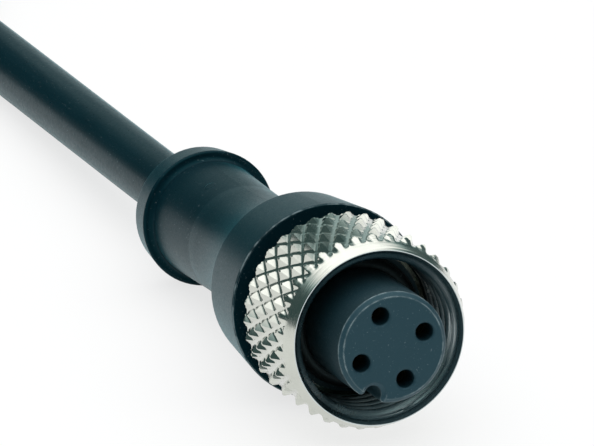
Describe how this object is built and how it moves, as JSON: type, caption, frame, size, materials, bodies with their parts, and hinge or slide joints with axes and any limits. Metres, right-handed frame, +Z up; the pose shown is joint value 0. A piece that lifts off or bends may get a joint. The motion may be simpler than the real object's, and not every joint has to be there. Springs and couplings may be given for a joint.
{
  "type": "m12 connector",
  "caption": "Straight female M12 cordset connector: knurled coupling nut, keyed socket face with sealed contacts, overmoulded grip and a cable folded in a hank.",
  "frame": {"origin": "on the floor, under the middle of the connector as it lies on its grip's collar and flange", "axes": "+X along the connector towards its mating face, +Z up; the connector's own axis is pitched up 4.88 degrees from +X"},
  "size_m": [0.217, 0.0408, 0.0233],
  "materials": {
    "nickel_plated_brass": "polished",
    "carrier_plastic": "matte",
    "seal_rubber": "matte",
    "grip_soft_plastic": "satin",
    "cable_jacket": "satin",
    "tie_plastic": "satin",
    "gold_plated_contact": "polished",
    "tinned_copper": "satin",
    "core_brown": "satin",
    "core_white": "satin",
    "core_blue": "satin",
    "core_black": "satin"
  },
  "bodies": {
    "cordset": {"contact_carrier": "carrier_plastic", "nut_retainer": "carrier_plastic", "seal_ring": "seal_rubber", "grip": "grip_soft_plastic", "cable_run": "cable_jacket", "cable_hank": "cable_jacket", "cable_tail": "cable_jacket", "hank_tie_1": "tie_plastic", "hank_tie_2": "tie_plastic", "contact_1": "gold_plated_contact", "contact_2": "gold_plated_contact", "contact_3": "gold_plated_contact", "contact_4": "gold_plated_contact", "conductor_brown": "tinned_copper", "core_brown": "core_brown", "tail_core_brown": "core_brown", "tail_tip_brown": "tinned_copper", "conductor_white": "tinned_copper", "core_white": "core_white", "tail_core_white": "core_white", "tail_tip_white": "tinned_copper", "conductor_blue": "tinned_copper", "core_blue": "core_blue", "tail_core_blue": "core_blue", "tail_tip_blue": "tinned_copper", "conductor_black": "tinned_copper", "core_black": "core_black", "tail_core_black": "core_black", "tail_tip_black": "tinned_copper"},
    "coupling_nut": {"coupling_nut": "nickel_plated_brass"}
  },
  "joints": [
    {"name": "nut_spin", "type": "hinge", "parent": "cordset", "child": "coupling_nut", "pos_m": [0.00982, 0, 0.0073], "axis": [0.9964, 0, 0.0851], "continuous": true}
  ]
}
